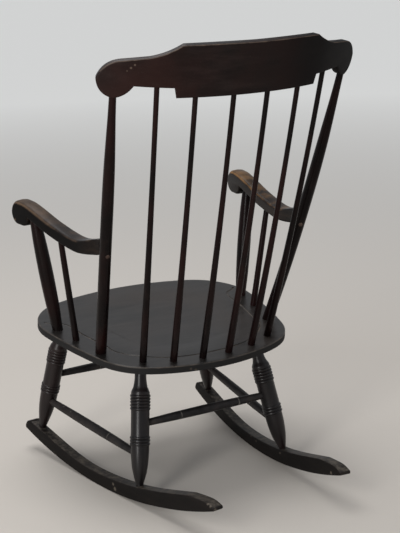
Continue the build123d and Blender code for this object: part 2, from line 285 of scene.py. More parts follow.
def sawBoard(name, outline, thickness, rounding, segments=4):
    # a flat outline cut from a board, with its arrises eased
    board = meshOfCurve(name, [(x, y, 0) for x, y in outline], True, dimensions="2D",
                        fill_mode="BOTH", extrude=thickness / 2 - rounding, bevel_depth=rounding,
                        bevel_resolution=segments, offset=-rounding)
    editAll(board)
    bpy.ops.mesh.remove_doubles(threshold=0.00002)
    leaveEdit()
    return board


def nodeAt(tree, kind, x, y, **values):
    made = tree.nodes.new(kind)
    made.location = (x, y)
    for key, value in values.items():
        if key in made.inputs:
            made.inputs[key].default_value = value
        else:
            setattr(made, key, value)
    return made


def noiseNode(tree, x, y, coords, scale, detail, roughness):
    made = nodeAt(tree, "ShaderNodeTexNoise", x, y, Scale=scale, Detail=detail, Roughness=roughness)
    tree.links.new(coords, made.inputs["Vector"])
    return made.outputs[0]


def rangeNode(tree, x, y, source, low, high, bottom=0.0, top=1.0):
    made = nodeAt(tree, "ShaderNodeMapRange", x, y)
    tree.links.new(source, made.inputs[0])
    for socket, value in zip(made.inputs[1:5], (low, high, bottom, top)):
        socket.default_value = value
    return made.outputs[0]


def feed(tree, socket, value):
    # a plain number or colour is typed in, anything else is linked
    if isinstance(value, float):
        socket.default_value = value
    elif isinstance(value, tuple):
        socket.default_value = (*value, 1)
    else:
        tree.links.new(value, socket)


def mathNode(tree, x, y, operation, *values):
    made = nodeAt(tree, "ShaderNodeMath", x, y, operation=operation)
    for socket, value in zip(made.inputs, values):
        feed(tree, socket, value)
    return made.outputs[0]


def mixNode(tree, x, y, *values):
    # factor, first colour, second colour
    made = nodeAt(tree, "ShaderNodeMix", x, y, data_type="RGBA")
    for i, value in zip((0, 6, 7), values):
        feed(tree, made.inputs[i], value)
    return made.outputs[2]


def attributeNode(tree, x, y, name):
    return nodeAt(tree, "ShaderNodeAttribute", x, y, attribute_name=name).outputs["Fac"]


def toneNode(tree, x, y, source, stops):
    made = nodeAt(tree, "ShaderNodeValToRGB", x, y)
    tree.links.new(source, made.inputs[0])
    bar = made.color_ramp
    while len(bar.elements) < len(stops):
        bar.elements.new(0.5)
    for element, (place, colour) in zip(bar.elements, stops):
        element.position = place
        element.color = (*colour, 1)
    return made.outputs[0]


def newFinish(name):
    finish = bpy.data.materials.new(name)
    finish.use_nodes = True
    return finish, finish.node_tree, finish.node_tree.nodes["Principled BSDF"]


wood = {
    "tones": (0.3, 0.5, 0.72),    # where the dark, middle and light tones sit
    "clouds": (0.42, 0.68), "specks": (0.62, 0.8),
    "grainNoise": (1.0, 7.0, 0.62), "speckNoise": (330.0, 2.0, 0.7),    # scale, detail, roughness
    "cloudNoise": (3.0, 0.5), "patchNoise": (5.0, 0.65),    # detail and roughness
    "chippedCells": (0.72, 0.9), "markStrength": 0.8, "markCore": 0.35,
    "glossClouds": (0.3, 0.7), "wornMatt": 0.25, "shadeMatt": 0.4,
    "relief": 0.2, "reliefDepth": 0.0006,
}


def spotField(tree, coords, spots, x, y):
    # strong inside any of the marks, fading to nothing at their rims
    total = None
    for i, (px, py, pz, size) in enumerate(spots):
        row = y - 160 * i
        gap = nodeAt(tree, "ShaderNodeVectorMath", x, row, operation="DISTANCE")
        tree.links.new(coords, gap.inputs[0])
        gap.inputs[1].default_value = (px, py, pz)
        fade = rangeNode(tree, x + 180, row, gap.outputs["Value"], size, size * wood["markCore"],
                         0.0, wood["markStrength"])
        total = mathNode(tree, x + 360, row, "MAXIMUM", total, fade) if total else fade
    return total


def fleckField(tree, coords, size, many):
    # small chips in the finish, in only some of the cells
    chips = nodeAt(tree, "ShaderNodeTexVoronoi", -1400, -1100, Scale=many)
    tree.links.new(coords, chips.inputs["Vector"])
    near = rangeNode(tree, -1200, -1100, chips.outputs["Distance"], size, size * 0.5)
    chosen = rangeNode(tree, -1200, -1300, chips.outputs["Color"], *wood["chippedCells"])
    return mathNode(tree, -1000, -1100, "MULTIPLY", near, chosen)


def woodFinish(name, look):
    # stained and lacquered wood: grain, cloudy undertone, dust, painted shade, chips and rubbed
    # places
    finish, tree, shader = newFinish(name)
    coords = nodeAt(tree, "ShaderNodeTexCoord", -1800, 0).outputs["Object"]
    along = nodeAt(tree, "ShaderNodeMapping", -1600, 200, Scale=look["grain"])
    tree.links.new(coords, along.inputs["Vector"])
    grain = noiseNode(tree, -1400, 250, along.outputs[0], *wood["grainNoise"])
    tones = zip(wood["tones"], (look["dark"], look["middle"], look["light"]))
    colour = toneNode(tree, -1200, 250, grain, list(tones))

    cloud = noiseNode(tree, -1400, -50, coords, look["cloudScale"], *wood["cloudNoise"])
    clouded = rangeNode(tree, -1200, -50, cloud, *wood["clouds"], 0.0, look["cloudShare"])
    colour = mixNode(tree, -950, 150, clouded, colour, look["undertone"])

    speck = noiseNode(tree, -1400, -300, coords, *wood["speckNoise"])
    dusty = rangeNode(tree, -1200, -300, speck, *wood["specks"], 0.0, look["dust"])
    colour = mixNode(tree, -750, 100, dusty, colour, look["dustColour"])
    if "paintedShade" in look:
        # painted shade: where the shade attribute says so the colour is drawn to a dark tone, and the
        # surface is made duller
        shaded = attributeNode(tree, -950, -50, "shade")
        colour = mixNode(tree, -700, 0, shaded, colour, look["paintedShade"])
    if "flecks" in look:
        colour = mixNode(tree, -620, 0, fleckField(tree, coords, *look["flecks"]), colour,
                         look["worn"])

    worn = attributeNode(tree, -1400, -600, "wear")
    if look.get("spots"):
        marks = spotField(tree, coords, look["spots"], -2200, -900)
        worn = mathNode(tree, -1200, -700, "MAXIMUM", worn, marks)
    patchy = noiseNode(tree, -1400, -800, coords, look["wearScale"], *wood["patchNoise"])
    worn = mathNode(tree, -1000, -650, "ADD", worn, patchy)
    rubbed = rangeNode(tree, -800, -650, worn, look["wearFrom"], look["wearTo"],
                       0.0, look["wearShare"])
    colour = mixNode(tree, -500, 50, rubbed, colour, look["worn"])
    tree.links.new(colour, shader.inputs["Base Color"])

    sheen = rangeNode(tree, -700, -250, cloud, *wood["glossClouds"], *look["gloss"])
    matt = mathNode(tree, -400, -250, "MULTIPLY_ADD", rubbed, wood["wornMatt"], sheen)
    if "paintedShade" in look:
        matt = mathNode(tree, -250, -250, "MULTIPLY_ADD", shaded, wood["shadeMatt"], matt)
    tree.links.new(matt, shader.inputs["Roughness"])

    bump = nodeAt(tree, "ShaderNodeBump", -300, -450, Strength=wood["relief"],
                  Distance=wood["reliefDepth"])
    tree.links.new(mathNode(tree, -700, -450, "ADD", grain, speck), bump.inputs["Height"])
    tree.links.new(bump.outputs[0], shader.inputs["Normal"])
    shader.inputs["Specular IOR Level"].default_value = look["shine"]
    return finish


def dress(piece, finish, slotName, *nodes):
    piece.data.materials.clear()
    piece.data.materials.append(finish)
    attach(piece, "root")
    if nodes:
        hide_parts(*nodes)


def dressPair(left, finish, slotName, node, otherFinish=None):
    # the piece and its mirror image replace the left node and the right one
    start, end = left.name.rsplit("_", 1)
    right = mirrored(left, start + "_" + {"left": "right", "l": "r"}[end])
    dress(left, finish, slotName, node + "_left")
    dress(right, otherFinish or finish, slotName, node + "_right")


# the colours and gloss that the finishes start from
stain = {
    "dark": (0.0045, 0.003, 0.0028),
    "middle": (0.0095, 0.0062, 0.0058),
    "light": (0.02, 0.013, 0.012),
    "undertone": (0.024, 0.0085, 0.007),
    "worn": (0.17, 0.125, 0.09),
    "dustColour": (0.07, 0.06, 0.055),
    "gloss": (0.26, 0.42),
    "shine": 0.13,
    "cloudScale": 7.0, "cloudShare": 0.6, "dust": 0.25,
    "wearScale": 45.0, "wearFrom": 1.18, "wearTo": 1.5, "wearShare": 0.8,
}
# the crest rail's darkest colour is painted shade, laid where the shade attribute marks the -x side
crestFinish = woodFinish("crestStain", {
    **stain, "grain": (5, 60, 60), "cloudShare": 0.75, "paintedShade": (0.0015, 0.001, 0.001),
    "wearFrom": 1.02, "flecks": (0.03, 26.0), "worn": (0.15, 0.11, 0.085),
    "spots": [(0.2501, 0.2595, 0.9962, 0.004), (0.2566, 0.2547, 0.9905, 0.0045),
              (0.2631, 0.2497, 0.9848, 0.0035)],
})
uprightFinish = woodFinish("uprightStain", {
    **stain, "grain": (70, 70, 5), "dust": 0.1, "dark": (0.004, 0.0028, 0.0028),
    "middle": (0.0045, 0.003, 0.003), "light": (0.011, 0.007, 0.0065),
    "undertone": (0.019, 0.0055, 0.0048), "gloss": (0.18, 0.3), "shine": 0.1,
})
print("rocking chair: finishes for the frame mixed")


leg = {
    "bead": 0.0462, "groove": 0.0396, "barrel": 0.042, "pitch": 0.0071,
    "lowerBeads": (0.090, 3), "upperBeads": (0.169, 5),    # height of the first, and how many
    "foot": 0.017, "shoulder": 0.002, "ankle": (0.033, 0.033), "swell": (0.062, 0.040),
    "collar": 0.0015, "fillet": 0.001, "throat": 0.032, "neck": 0.026, "cove": 0.034,
    "coveEase": (0.006, 0.0004), "neckRun": 0.012, "footTenon": 0.022, "seatTenon": 0.019,
    "frontExtra": 0.007,
}
beadShares = (0.04, 0.12, 0.26, 0.5, 0.74, 0.88, 0.96)    # where a bead's section is drawn


def beadMarks(start, count):
    marks = []
    half = leg["groove"] / 2
    rise = (leg["bead"] - leg["groove"]) / 2
    for i in range(count):
        z = start + i * leg["pitch"]
        for t in beadShares:
            swell = math.sqrt(1 - (2 * t - 1) ** 2)
            marks.append((z + t * leg["pitch"], half + rise * swell))
    return marks


def legMarks(length, extra):
    barrel = leg["barrel"] / 2
    shift = leg["footTenon"] / 2 + extra
    lower, lowerCount = leg["lowerBeads"]
    upper, upperCount = leg["upperBeads"]
    taper = curveThrough([
        (leg["footTenon"] / 2 + leg["shoulder"], leg["foot"] / 2),
        (shift + leg["ankle"][0], leg["ankle"][1] / 2),
        (shift + leg["swell"][0], leg["swell"][1] / 2),
        (shift + lower - leg["collar"], barrel),
    ], 7)
    top = shift + upper + upperCount * leg["pitch"]
    easeRun, easeDepth = leg["coveEase"]
    neck = curveThrough([
        (top + leg["fillet"], barrel),
        (top + easeRun, barrel - easeDepth),
        (top + leg["cove"] / 2, leg["throat"] / 2),
        (top + leg["cove"], leg["neck"] / 2 + easeDepth),
        (top + leg["cove"] + leg["neckRun"], leg["neck"] / 2),
    ], 5)
    marks = [(-leg["footTenon"] / 2, leg["foot"] / 2)]
    marks += taper
    marks += beadMarks(shift + lower, lowerCount)
    marks.append((shift + lower + lowerCount * leg["pitch"] + leg["fillet"], barrel))
    marks.append((shift + (lower + upper) / 2, barrel))
    marks.append((shift + upper - leg["fillet"], barrel))
    marks += beadMarks(shift + upper, upperCount)
    marks += neck
    marks.append((length + leg["seatTenon"], leg["neck"] / 2))
    return marks


rocker = {
    "radius": 1.105, "thickness": 0.027, "front": 0.3406, "rear": 0.4425,
    "frontHeight": 0.031, "legFrontHeight": 0.0305, "waistHeight": 0.028,
    "legRearHeight": 0.0335, "rearHeight": 0.0355, "tipLength": 0.084, "tipRise": 0.023,
    "tipBlunt": 0.0042, "noseLength": 0.019, "noseRise": 0.017, "noseLean": 0.003,
    "noseRound": 0.004, "noseUnder": 0.002, "easeFrom": 0.22, "easeDrop": 0.0065, "easePower": 1.6,
    "rounding": 0.0024,
    # topWear lightens the upward faces, partly as dust and partly as a painted sheen on the top
    "wearLine": (0.0011, 0.0015), "edgeWear": 0.56, "topWear": 0.66, "sideShade": 0.6,
}
stance = {
    "rear": {"top": (0.153, 0.1215), "station": 0.145, "height": "legRearHeight", "extra": 0},
    "front": {"top": (0.194, -0.190), "station": -0.286, "height": "legFrontHeight",
              "extra": leg["frontExtra"]},
}


def rockerSpot(station, height):
    # stations run along the arc from the place where the rocker touches the floor
    reach = rocker["radius"] - height
    angle = station / rocker["radius"]
    return reach * math.sin(angle), rocker["radius"] - reach * math.cos(angle)


legFinish = woodFinish("legLacquer", {
    **stain, "grain": (80, 80, 9), "dark": (0.002, 0.0017, 0.0021),
    "middle": (0.0045, 0.0036, 0.0041), "light": (0.0095, 0.0072, 0.0078),
    "undertone": (0.019, 0.0075, 0.0066), "gloss": (0.3, 0.38), "shine": 0.34, "dust": 0.06,
    "flecks": (0.03, 40.0), "worn": (0.08, 0.07, 0.065), "wearFrom": 1.3, "wearTo": 1.75,
})
legLine = {}
for end, place in stance.items():
    along, up = rockerSpot(place["station"], rocker[place["height"]] - leg["footTenon"] / 2)
    foot = rockerPlane @ Vector((along, up, 0))
    head = onSeat(*place["top"], seatThickness)
    legLine[end] = (foot, head)
    left = turnPiece("legTurned_" + end + "_left", foot, head,
                     legMarks((head - foot).length, place["extra"]), sides=48)
    dressPair(left, legFinish, "leg_wood", "leg_" + end)
print("rocking chair: legs turned")


stretcher = {
    "end": 0.0162, "middle": 0.0206, "wall": 0.0229, "tenon": 0.0175,
    "swell": [(0, 0), (0.22, 0.7), (0.5, 1), (0.78, 0.7), (1, 0)],    # shares of the length and swell
    "ring": 0.0011, "ringDepth": 0.0005, "paleReach": 1.4,
    "rear": 0.137, "front": 0.141, "sideRear": 0.067, "sideFront": 0.075,
    "rings": {"back": (0.27, 0.787), "fore": (0.265, 0.735), "side": (0.28, 0.72)},
    "paleRings": {"back": 2, "fore": 1, "side": 1},    # counted from the first end
}


def legSpot(end, station):
    foot, head = legLine[end]
    return foot + (head - foot).normalized() * (station + leg["footTenon"] / 2)


def scribeRing(marks, z):
    # a narrow groove in place of the marks near z
    wide = stretcher["ring"]
    radius = 0
    for (z0, r0), (z1, r1) in zip(marks, marks[1:]):
        if z0 <= z <= z1:
            radius = r0 + (r1 - r0) * (z - z0) / (z1 - z0)
    floor = radius - stretcher["ringDepth"]
    cut = [(z - wide, radius), (z - wide * 0.5, floor), (z + wide * 0.5, floor), (z + wide, radius)]
    return sorted([m for m in marks if abs(m[0] - z) > 2 * wide] + cut)


def stretcherPiece(name, kind, near, far):
    run = (far - near).normalized()
    start = near + run * stretcher["wall"]
    stop = far - run * stretcher["wall"]
    length = (stop - start).length
    swell = stretcher["middle"] - stretcher["end"]
    places = [(share, stretcher["end"] + part * swell) for share, part in stretcher["swell"]]
    marks = evenMarks(length, places, stretcher["tenon"], stretcher["tenon"], 5)
    rings = [share * length for share in stretcher["rings"][kind]]
    for z in rings:
        marks = scribeRing(marks, z)
    piece = turnPiece(name, start, stop, marks, sides=32)
    pale = rings[:stretcher["paleRings"][kind]]
    reach = stretcher["paleReach"] * stretcher["ring"]

    def ringWear(co, normal):
        z = (co - start).dot(run)
        return max(1 - abs(z - ring) / reach for ring in pale)

    markPoints(piece, wear=ringWear)
    return piece


stretcherFinish = woodFinish("stretcherStain", {
    **stain, "grain": (30, 30, 30), "dark": (0.008, 0.0072, 0.0075),
    "middle": (0.018, 0.0165, 0.017), "light": (0.036, 0.03, 0.028),
    "undertone": (0.024, 0.018, 0.016), "gloss": (0.34, 0.5), "worn": (0.2, 0.185, 0.165),
    "wearFrom": 0.8, "wearTo": 1.35, "dust": 0.3, "flecks": (0.07, 60.0),
    "spots": [(0.221, -0.2258, 0.1399, 0.003), (0.2191, -0.1918, 0.1368, 0.003),
              (-0.0848, 0.0762, 0.1721, 0.0035)],
})
for name, end in (("Back", "rear"), ("Fore", "front")):
    spot = legSpot(end, stretcher[end])
    piece = stretcherPiece("stretcher" + name, name.lower(), spot, otherSide(spot))
    dress(piece, stretcherFinish, "stretcher_wood", "stretcher_" + end)
left = stretcherPiece("stretcherSide_left", "side", legSpot("rear", stretcher["sideRear"]),
                      legSpot("front", stretcher["sideFront"]))
dressPair(left, stretcherFinish, "stretcher_wood", "stretcher_side")
print("rocking chair: stretchers turned")


def rockerOutline():
    # behind the rear leg the board eases out of its arc towards a flatter tip
    front = -rocker["front"]
    rear = rocker["rear"]
    legRear = stance["rear"]["station"]
    legFront = stance["front"]["station"]

    def spot(station, height):
        x, z = rockerSpot(station, height)
        ease = max(0.0, (station - rocker["easeFrom"]) / (rear - rocker["easeFrom"]))
        return x, z - rocker["easeDrop"] * ease ** rocker["easePower"]

    steps = 48
    under = [spot(front + (rear - front) * k / steps, 0) for k in range(steps + 1)]
    blunt = rocker["tipBlunt"]
    under[0] = spot(front + rocker["noseUnder"], 0)
    under[-1] = spot(rear - blunt, 0)
    topRear = spot(rear - rocker["tipLength"], rocker["rearHeight"])
    tip = curveThrough([
        under[-1],
        spot(rear - blunt * 0.25, blunt * 0.3),
        spot(rear, blunt),
        spot(rear - blunt * 0.5, blunt * 2),
        spot(rear - rocker["tipLength"] / 3, rocker["tipRise"]),
        topRear,
    ], 5)
    topFront = spot(front + rocker["noseLength"], rocker["frontHeight"])
    top = curveThrough([
        topRear,
        spot(legRear, rocker["legRearHeight"]),
        spot((legRear + legFront) / 2, rocker["waistHeight"]),
        spot(legFront, rocker["legFrontHeight"]),
        topFront,
    ], 14)
    nose = curveThrough([
        topFront,
        spot(front + rocker["noseLean"] * 1.6, rocker["noseRise"] + rocker["noseRound"]),
        spot(front, rocker["noseRise"] * 0.45),
        under[0],
    ], 6)
    return joinRuns(under, tip[1:], top[1:], nose[1:-1])


def rockerInset(co):
    # how far a point lies inside the board's nearer side
    return rocker["thickness"] / 2 - abs((rockerPlane.inverted() @ co).z)


def rockerWearAndSheen(co, normal):
    # rubbed edges, and the upward faces made lighter: partly dust, partly a painted sheen on the top
    rim = rimBand(rockerInset(co), *rocker["wearLine"])
    return max(rocker["edgeWear"] * rim, rocker["topWear"] * normal.z)


# painted shade on the board's flat sides
def rockerShade(co, normal):
    return rocker["sideShade"] if rockerInset(co) < 0.0003 else 0


# the darkest colour in the rocker's look is painted shade, laid on the flat sides
rockerFinish = woodFinish("rockerStain", {
    **stain, "grain": (60, 7, 60), "dark": (0.004, 0.003, 0.0027),
    "middle": (0.0085, 0.0063, 0.0054), "light": (0.02, 0.015, 0.0125),
    "undertone": (0.022, 0.018, 0.016), "cloudShare": 0.45, "gloss": (0.36, 0.55), "dust": 0.4,
    "flecks": (0.075, 48.0), "paintedShade": (0.003, 0.0024, 0.0022), "worn": (0.2, 0.17, 0.135),
    "wearScale": 70.0, "wearFrom": 1.07, "wearTo": 1.55, "wearShare": 0.75,
    "spots": [(0.2172, 0.0182, 0.0128, 0.010), (0.218, 0.0109, 0.0227, 0.008),
              (0.2109, -0.0019, 0.0312, 0.007), (0.246, -0.2438, 0.0244, 0.005),
              (0.245, -0.235, 0.0206, 0.004), (0.1772, 0.3643, 0.0909, 0.007),
              (0.1756, 0.3735, 0.0871, 0.007), (0.172, 0.381, 0.083, 0.009),
              (-0.1975, -0.0494, 0.0272, 0.006), (-0.1946, -0.0227, 0.0233, 0.006),
              (-0.1808, 0.1021, 0.0357, 0.006), (-0.1545, 0.3417, 0.0726, 0.009)],
})
left = sawBoard("rockerSawn_left", rockerOutline(), rocker["thickness"], rocker["rounding"])
left.data.transform(rockerPlane)
tidyMesh(left, 50)
markPoints(left, wear=rockerWearAndSheen, shade=rockerShade)
dressPair(left, rockerFinish, "rocker_wood", "rocker")
print("rocking chair: rockers sawn")


crest = {
    "bend": 0.565, "thickness": 0.019, "rounding": 0.0032, "halfWidth": 0.311,
    "arch": 0.004, "archBulge": 0.0008, "step": (0.168, 0.021, 0.005),
    "hook": 0.244, "hookSag": 0.0053, "ear": (0.2795, 0.0075), "earLowBulge": 0.010,
    "earRise": 0.032, "earHighBulge": 0.009, "earTop": (0.270, 0.072),
    "saddle": (0.219, 0.0815), "saddleSag": 0.0032, "shoulder": (0.160, 0.110),
    "crown": 0.1145, "crownBulge": 0.0017,
    "past": -0.03, "slices": (-0.022, 0.011, 31),    # first, step and count
    "shade": (0.06, 0.2, 0.85),    # where it starts, its run and its depth
    "wearLine": (0.0012, 0.0022), "wearHeight": 0.045, "lowWear": 0.3,
}
earTurn = math.asin(crest["ear"][0] / crest["bend"])


def flatBend(across):
    # how the bent board unrolls when it is looked at square to its ear
    back = crest["bend"] - math.sqrt(crest["bend"] ** 2 - across ** 2)
    return across * math.cos(earTurn) + back * math.sin(earTurn)


def crestOutline():
    # one half, run on a little past the middle, where it is cut and mirrored
    def at(across, height):
        return (flatBend(across), height)

    stepAcross, stepHeight, slope = crest["step"]
    arch = at(0, crest["arch"])
    stepLow = at(stepAcross - slope, 0)
    stepHigh = at(stepAcross, stepHeight)
    hook = at(crest["hook"], stepHeight)
    earLow = at(crest["ear"][0], -crest["ear"][1])
    earSide = at(crest["halfWidth"], crest["earRise"])
    earHigh = at(*crest["earTop"])
    saddle = at(*crest["saddle"])
    shoulder = at(*crest["shoulder"])
    crown = at(0, crest["crown"])
    return joinRuns(
        [(crest["past"], crest["arch"]), arch],
        bulgeLine(arch, stepLow, crest["archBulge"], 10),
        [stepHigh, hook],
        bulgeLine(hook, earLow, -crest["hookSag"], 8),
        bulgeLine(earLow, earSide, -crest["earLowBulge"], 12),
        bulgeLine(earSide, earHigh, -crest["earHighBulge"], 12),
        [earHigh, saddle],
        bulgeLine(saddle, shoulder, crest["saddleSag"], 10),
        bulgeLine(shoulder, crown, -crest["crownBulge"], 12),
        [(crest["past"], crest["crown"])],
    )


def bendRail(piece):
    for v in piece.data.vertices:
        reach = crest["bend"] + v.co.y
        share = (v.co.x - crest["bend"] * math.sin(earTurn)) / reach
        angle = earTurn + math.asin(within(share, -1))
        v.co = Vector((reach * math.sin(angle), reach * math.cos(angle) - crest["bend"], v.co.z))


def crestWear(co, normal):
    out = math.hypot(co.x, co.y + crest["bend"]) - crest["bend"]
    edge = rimBand(crest["thickness"] / 2 - abs(out), *crest["wearLine"])
    high = co.z > crest["wearHeight"] and normal.z > -0.2
    return edge * (1 if high else crest["lowWear"])


# painted shade: the rail is darkened from near its middle towards the -x side
def crestShade(co, normal):
    start, run, depth = crest["shade"]
    return depth * within((start - co.x) / run)


rail = sawBoard("crestRail", crestOutline(), crest["thickness"], crest["rounding"])
# the outline was drawn lying down, and now it stands
rail.data.transform(Matrix(((1, 0, 0, 0), (0, 0, 1, 0), (0, 1, 0, 0), (0, 0, 0, 1))))
sliceAcross(rail, *crest["slices"])
bendRail(rail)
bisectAt(rail, (0, 0, 0), (1, 0, 0), clear=True)
applyModifier(rail, "MIRROR", use_clip=True, merge_threshold=0.0001)
tidyMesh(rail, 50)
markPoints(rail, wear=crestWear, shade=crestShade)
rail.data.transform(crestPlane)
dress(rail, crestFinish, "frame_wood", "crest_rail")
print("rocking chair: crest rail bent")


upright = {
    "postFoot": (0.224, 0.0654), "postHead": (0.2795, -0.0075), "postBow": 0.008,
    "postTenons": (0.015, 0.006), "spindleTenons": (0.015, 0.018),
    "postSizes": [(0, 0.0250), (0.2, 0.0260), (0.45, 0.0262), (0.62, 0.0258), (0.74, 0.0240),
                  (0.84, 0.0205), (0.93, 0.0168), (1, 0.0150)],
    "spindles": {"inner": ((0.034, 0.192), 0.0408), "middle": ((0.1026, 0.180), 0.1243),
                 "outer": ((0.1646, 0.1525), 0.202)},    # foot on the seat, and head across
    "spindleBow": 0.006,
    "spindleSizes": [(0, 0.0166), (0.15, 0.0158), (0.3, 0.0143), (0.5, 0.0127), (0.75, 0.0113),
                     (1, 0.011)],
}


def onCrest(across, height):
    back = math.sqrt(crest["bend"] ** 2 - across ** 2) - crest["bend"]
    return crestPlane @ Vector((across, back, height))


def crestOutward(across):
    share = across / crest["bend"]
    return crestPlane.to_3x3() @ Vector((share, math.sqrt(1 - share ** 2), 0))


postLine = (onSeat(*upright["postFoot"]), onCrest(*upright["postHead"]))
postOutward = crestOutward(upright["postHead"][0])
left = turnBetween("backPost_left", *postLine, upright["postSizes"], upright["postTenons"],
                   bow=upright["postBow"], outward=postOutward)
dressPair(left, uprightFinish, "frame_wood", "back_post")
for name, (spot, across) in upright["spindles"].items():
    lift = crest["step"][1] if across > crest["step"][0] else crest["arch"] / 2
    foot = onSeat(*spot)
    head = onCrest(across, lift)
    left = turnBetween("spindle_" + name + "_l", foot, head, upright["spindleSizes"],
                       upright["spindleTenons"], sides=28, bow=upright["spindleBow"],
                       outward=crestOutward(across))
    dressPair(left, uprightFinish, "frame_wood", "spindle_" + name)
print("rocking chair: posts and spindles turned")


arm = {
    "height": 0.6035, "depth": 0.027, "outer": 0.018, "inner": 0.0205, "rounding": 0.0055,
    "endInner": 0.0145, "endOuter": 0.005, "taper": 0.062,
    "crown": 0.0042, "crownFront": 0.7, "crownBack": 0.25, "crownRun": 0.2, "crownPower": 2.4,
    "endRise": 0.009, "endDepth": 0.0335, "tail": 0.020, "tailRise": (0.004, 0.006),
    "dip": 0.066, "waist": (0.1585, 0.43), "rise": 0.0381, "riseStation": 0.235,
    "scroll": (0.300, 0.0142, 0.0260),    # station, drop from the top, and radius
    "scrollLead": [(-0.031, -0.0032), (-0.010, -0.0007)], "scrollStart": 110, "scrollStep": 9.4,
    "lip": 0.275, "lipRound": (0.004, 0.001), "notch": (0.257, 0.006),
    "slices": (-0.012, 0.008, 10), "rows": (-0.55, -0.28, 0, 0.28, 0.55),
    "copeSizes": [(0, 0.0253), (0.2, 0.0263), (0.45, 0.0265), (0.62, 0.0261), (1, 0.0155)],
    "wearLine": (0.0016, 0.0024), "sideWear": 0.2, "shadeReach": 0.004, "underShade": 1.4,
    "wearRun": (0.12, 0.16),    # station where it grows, and over what run
    "topWear": (0.207, 0.46), "edgeWear": (0.3, 0.8),    # at the back and at the front
}
armWide = arm["outer"] + arm["inner"]
armShift = (arm["inner"] - arm["outer"]) / 2


def armOutline():
    top = arm["height"]
    low = top - arm["depth"]
    station, drop, radius = arm["scroll"]
    middle = top + arm["rise"] - drop
    jointTop = top + arm["endRise"]
    jointLow = jointTop - arm["endDepth"]
    topTail, lowTail = arm["tailRise"]
    waist, share = arm["waist"]
    lead = [(station + x, middle + radius + y) for x, y in arm["scrollLead"]]
    upper = curveThrough([
        (-arm["tail"], jointTop + topTail), (0, jointTop), (arm["dip"], top),
        (waist, top + share * arm["rise"]), (arm["riseStation"], top + arm["rise"]), *lead,
    ], 8)
    scroll = []
    for k in range(1, 22):
        angle = math.radians(arm["scrollStart"] - k * arm["scrollStep"])
        scroll.append((station + radius * math.cos(angle), middle + radius * math.sin(angle)))
    notch = (arm["notch"][0], low + arm["rise"] + arm["notch"][1])
    lip = (arm["lip"], middle - radius)
    roundRun, roundDrop = arm["lipRound"]
    hollow = curveThrough([
        (station - roundRun, middle - radius), lip,
        (notch[0] + roundRun, (lip[1] + notch[1]) / 2 - roundDrop), notch,
    ], 6)
    lower = curveThrough([
        notch, (arm["riseStation"], low + arm["rise"]), (waist, low + share * arm["rise"]),
        (arm["dip"], low), (0, jointLow), (-arm["tail"], jointLow + lowTail),
    ], 8)
    return joinRuns(upper, scroll, hollow, lower[1:])


def taperArm(piece):
    # both sides draw in towards the post
    for v in piece.data.vertices:
        v.co.z += armShift
        if v.co.x < arm["taper"]:
            ease = softStep((v.co.x + arm["tail"]) / (arm["taper"] + arm["tail"]))
            inner = blend(arm["endInner"], arm["inner"], ease)
            outer = blend(arm["endOuter"], arm["outer"], ease)
            share = (v.co.z + arm["outer"]) / armWide
            v.co.z = -outer + share * (inner + outer)


def crownArm(piece):
    # the upper side and the roll are crowned across the arm
    moves = []
    for v in piece.data.vertices:
        across = min(1.0, abs(v.co.z - armShift) / (armWide / 2))
        facing = max(0.0, v.normal.y, arm["crownFront"] * v.normal.x)
        far = within(v.co.x / arm["crownRun"], arm["crownBack"])
        lift = arm["crown"] * far * facing * (1 - across ** arm["crownPower"])
        moves.append(Vector((v.normal.x, v.normal.y, 0)) * lift)
    for v, move in zip(piece.data.vertices, moves):
        v.co += move


def copeArm(piece):
    # the arm's end is hollowed to fit round the back post
    cope = turnBetween("copeTool", *postLine, arm["copeSizes"], (0.01, 0.01),
                       bow=upright["postBow"], outward=postOutward)
    applyModifier(piece, "BOOLEAN", operation="DIFFERENCE", object=cope, solver="MANIFOLD")
    bpy.data.objects.remove(cope)


def keepLargest(piece):
    # after the cope is cut, the scrap behind the post goes
    work = bmesh.new()
    work.from_mesh(piece.data)
    bmesh.ops.remove_doubles(work, verts=work.verts, dist=0.00001)
    waiting = set(work.verts)
    groups = []
    while waiting:
        stack = [waiting.pop()]
        group = set(stack)
        while stack:
            v = stack.pop()
            for e in v.link_edges:
                other = e.other_vert(v)
                if other in waiting:
                    waiting.discard(other)
                    group.add(other)
                    stack.append(other)
        groups.append(group)
    groups.sort(key=len)
    for group in groups[:-1]:
        bmesh.ops.delete(work, geom=list(group), context="VERTS")
    work.to_mesh(piece.data)
    work.free()


def armShade(co, normal):
    # painted shade: darkest on the outer side and underneath
    local = armPlane.inverted() @ co
    inset = armWide / 2 + local.z - armShift
    return max(1 - inset / arm["shadeReach"], -arm["underShade"] * normal.z)


def armWear(co, normal):
    # the top and its edges are rubbed, and more so towards the front
    local = armPlane.inverted() @ co
    start, run = arm["wearRun"]
    front = within((local.x - start) / run)
    upward = max(0.0, normal.z)
    top = upward * blend(*arm["topWear"], front)
    edge = rimBand(armWide / 2 - abs(local.z - armShift), *arm["wearLine"])
    return top + edge * blend(*arm["edgeWear"], front) * blend(arm["sideWear"], 1, upward)


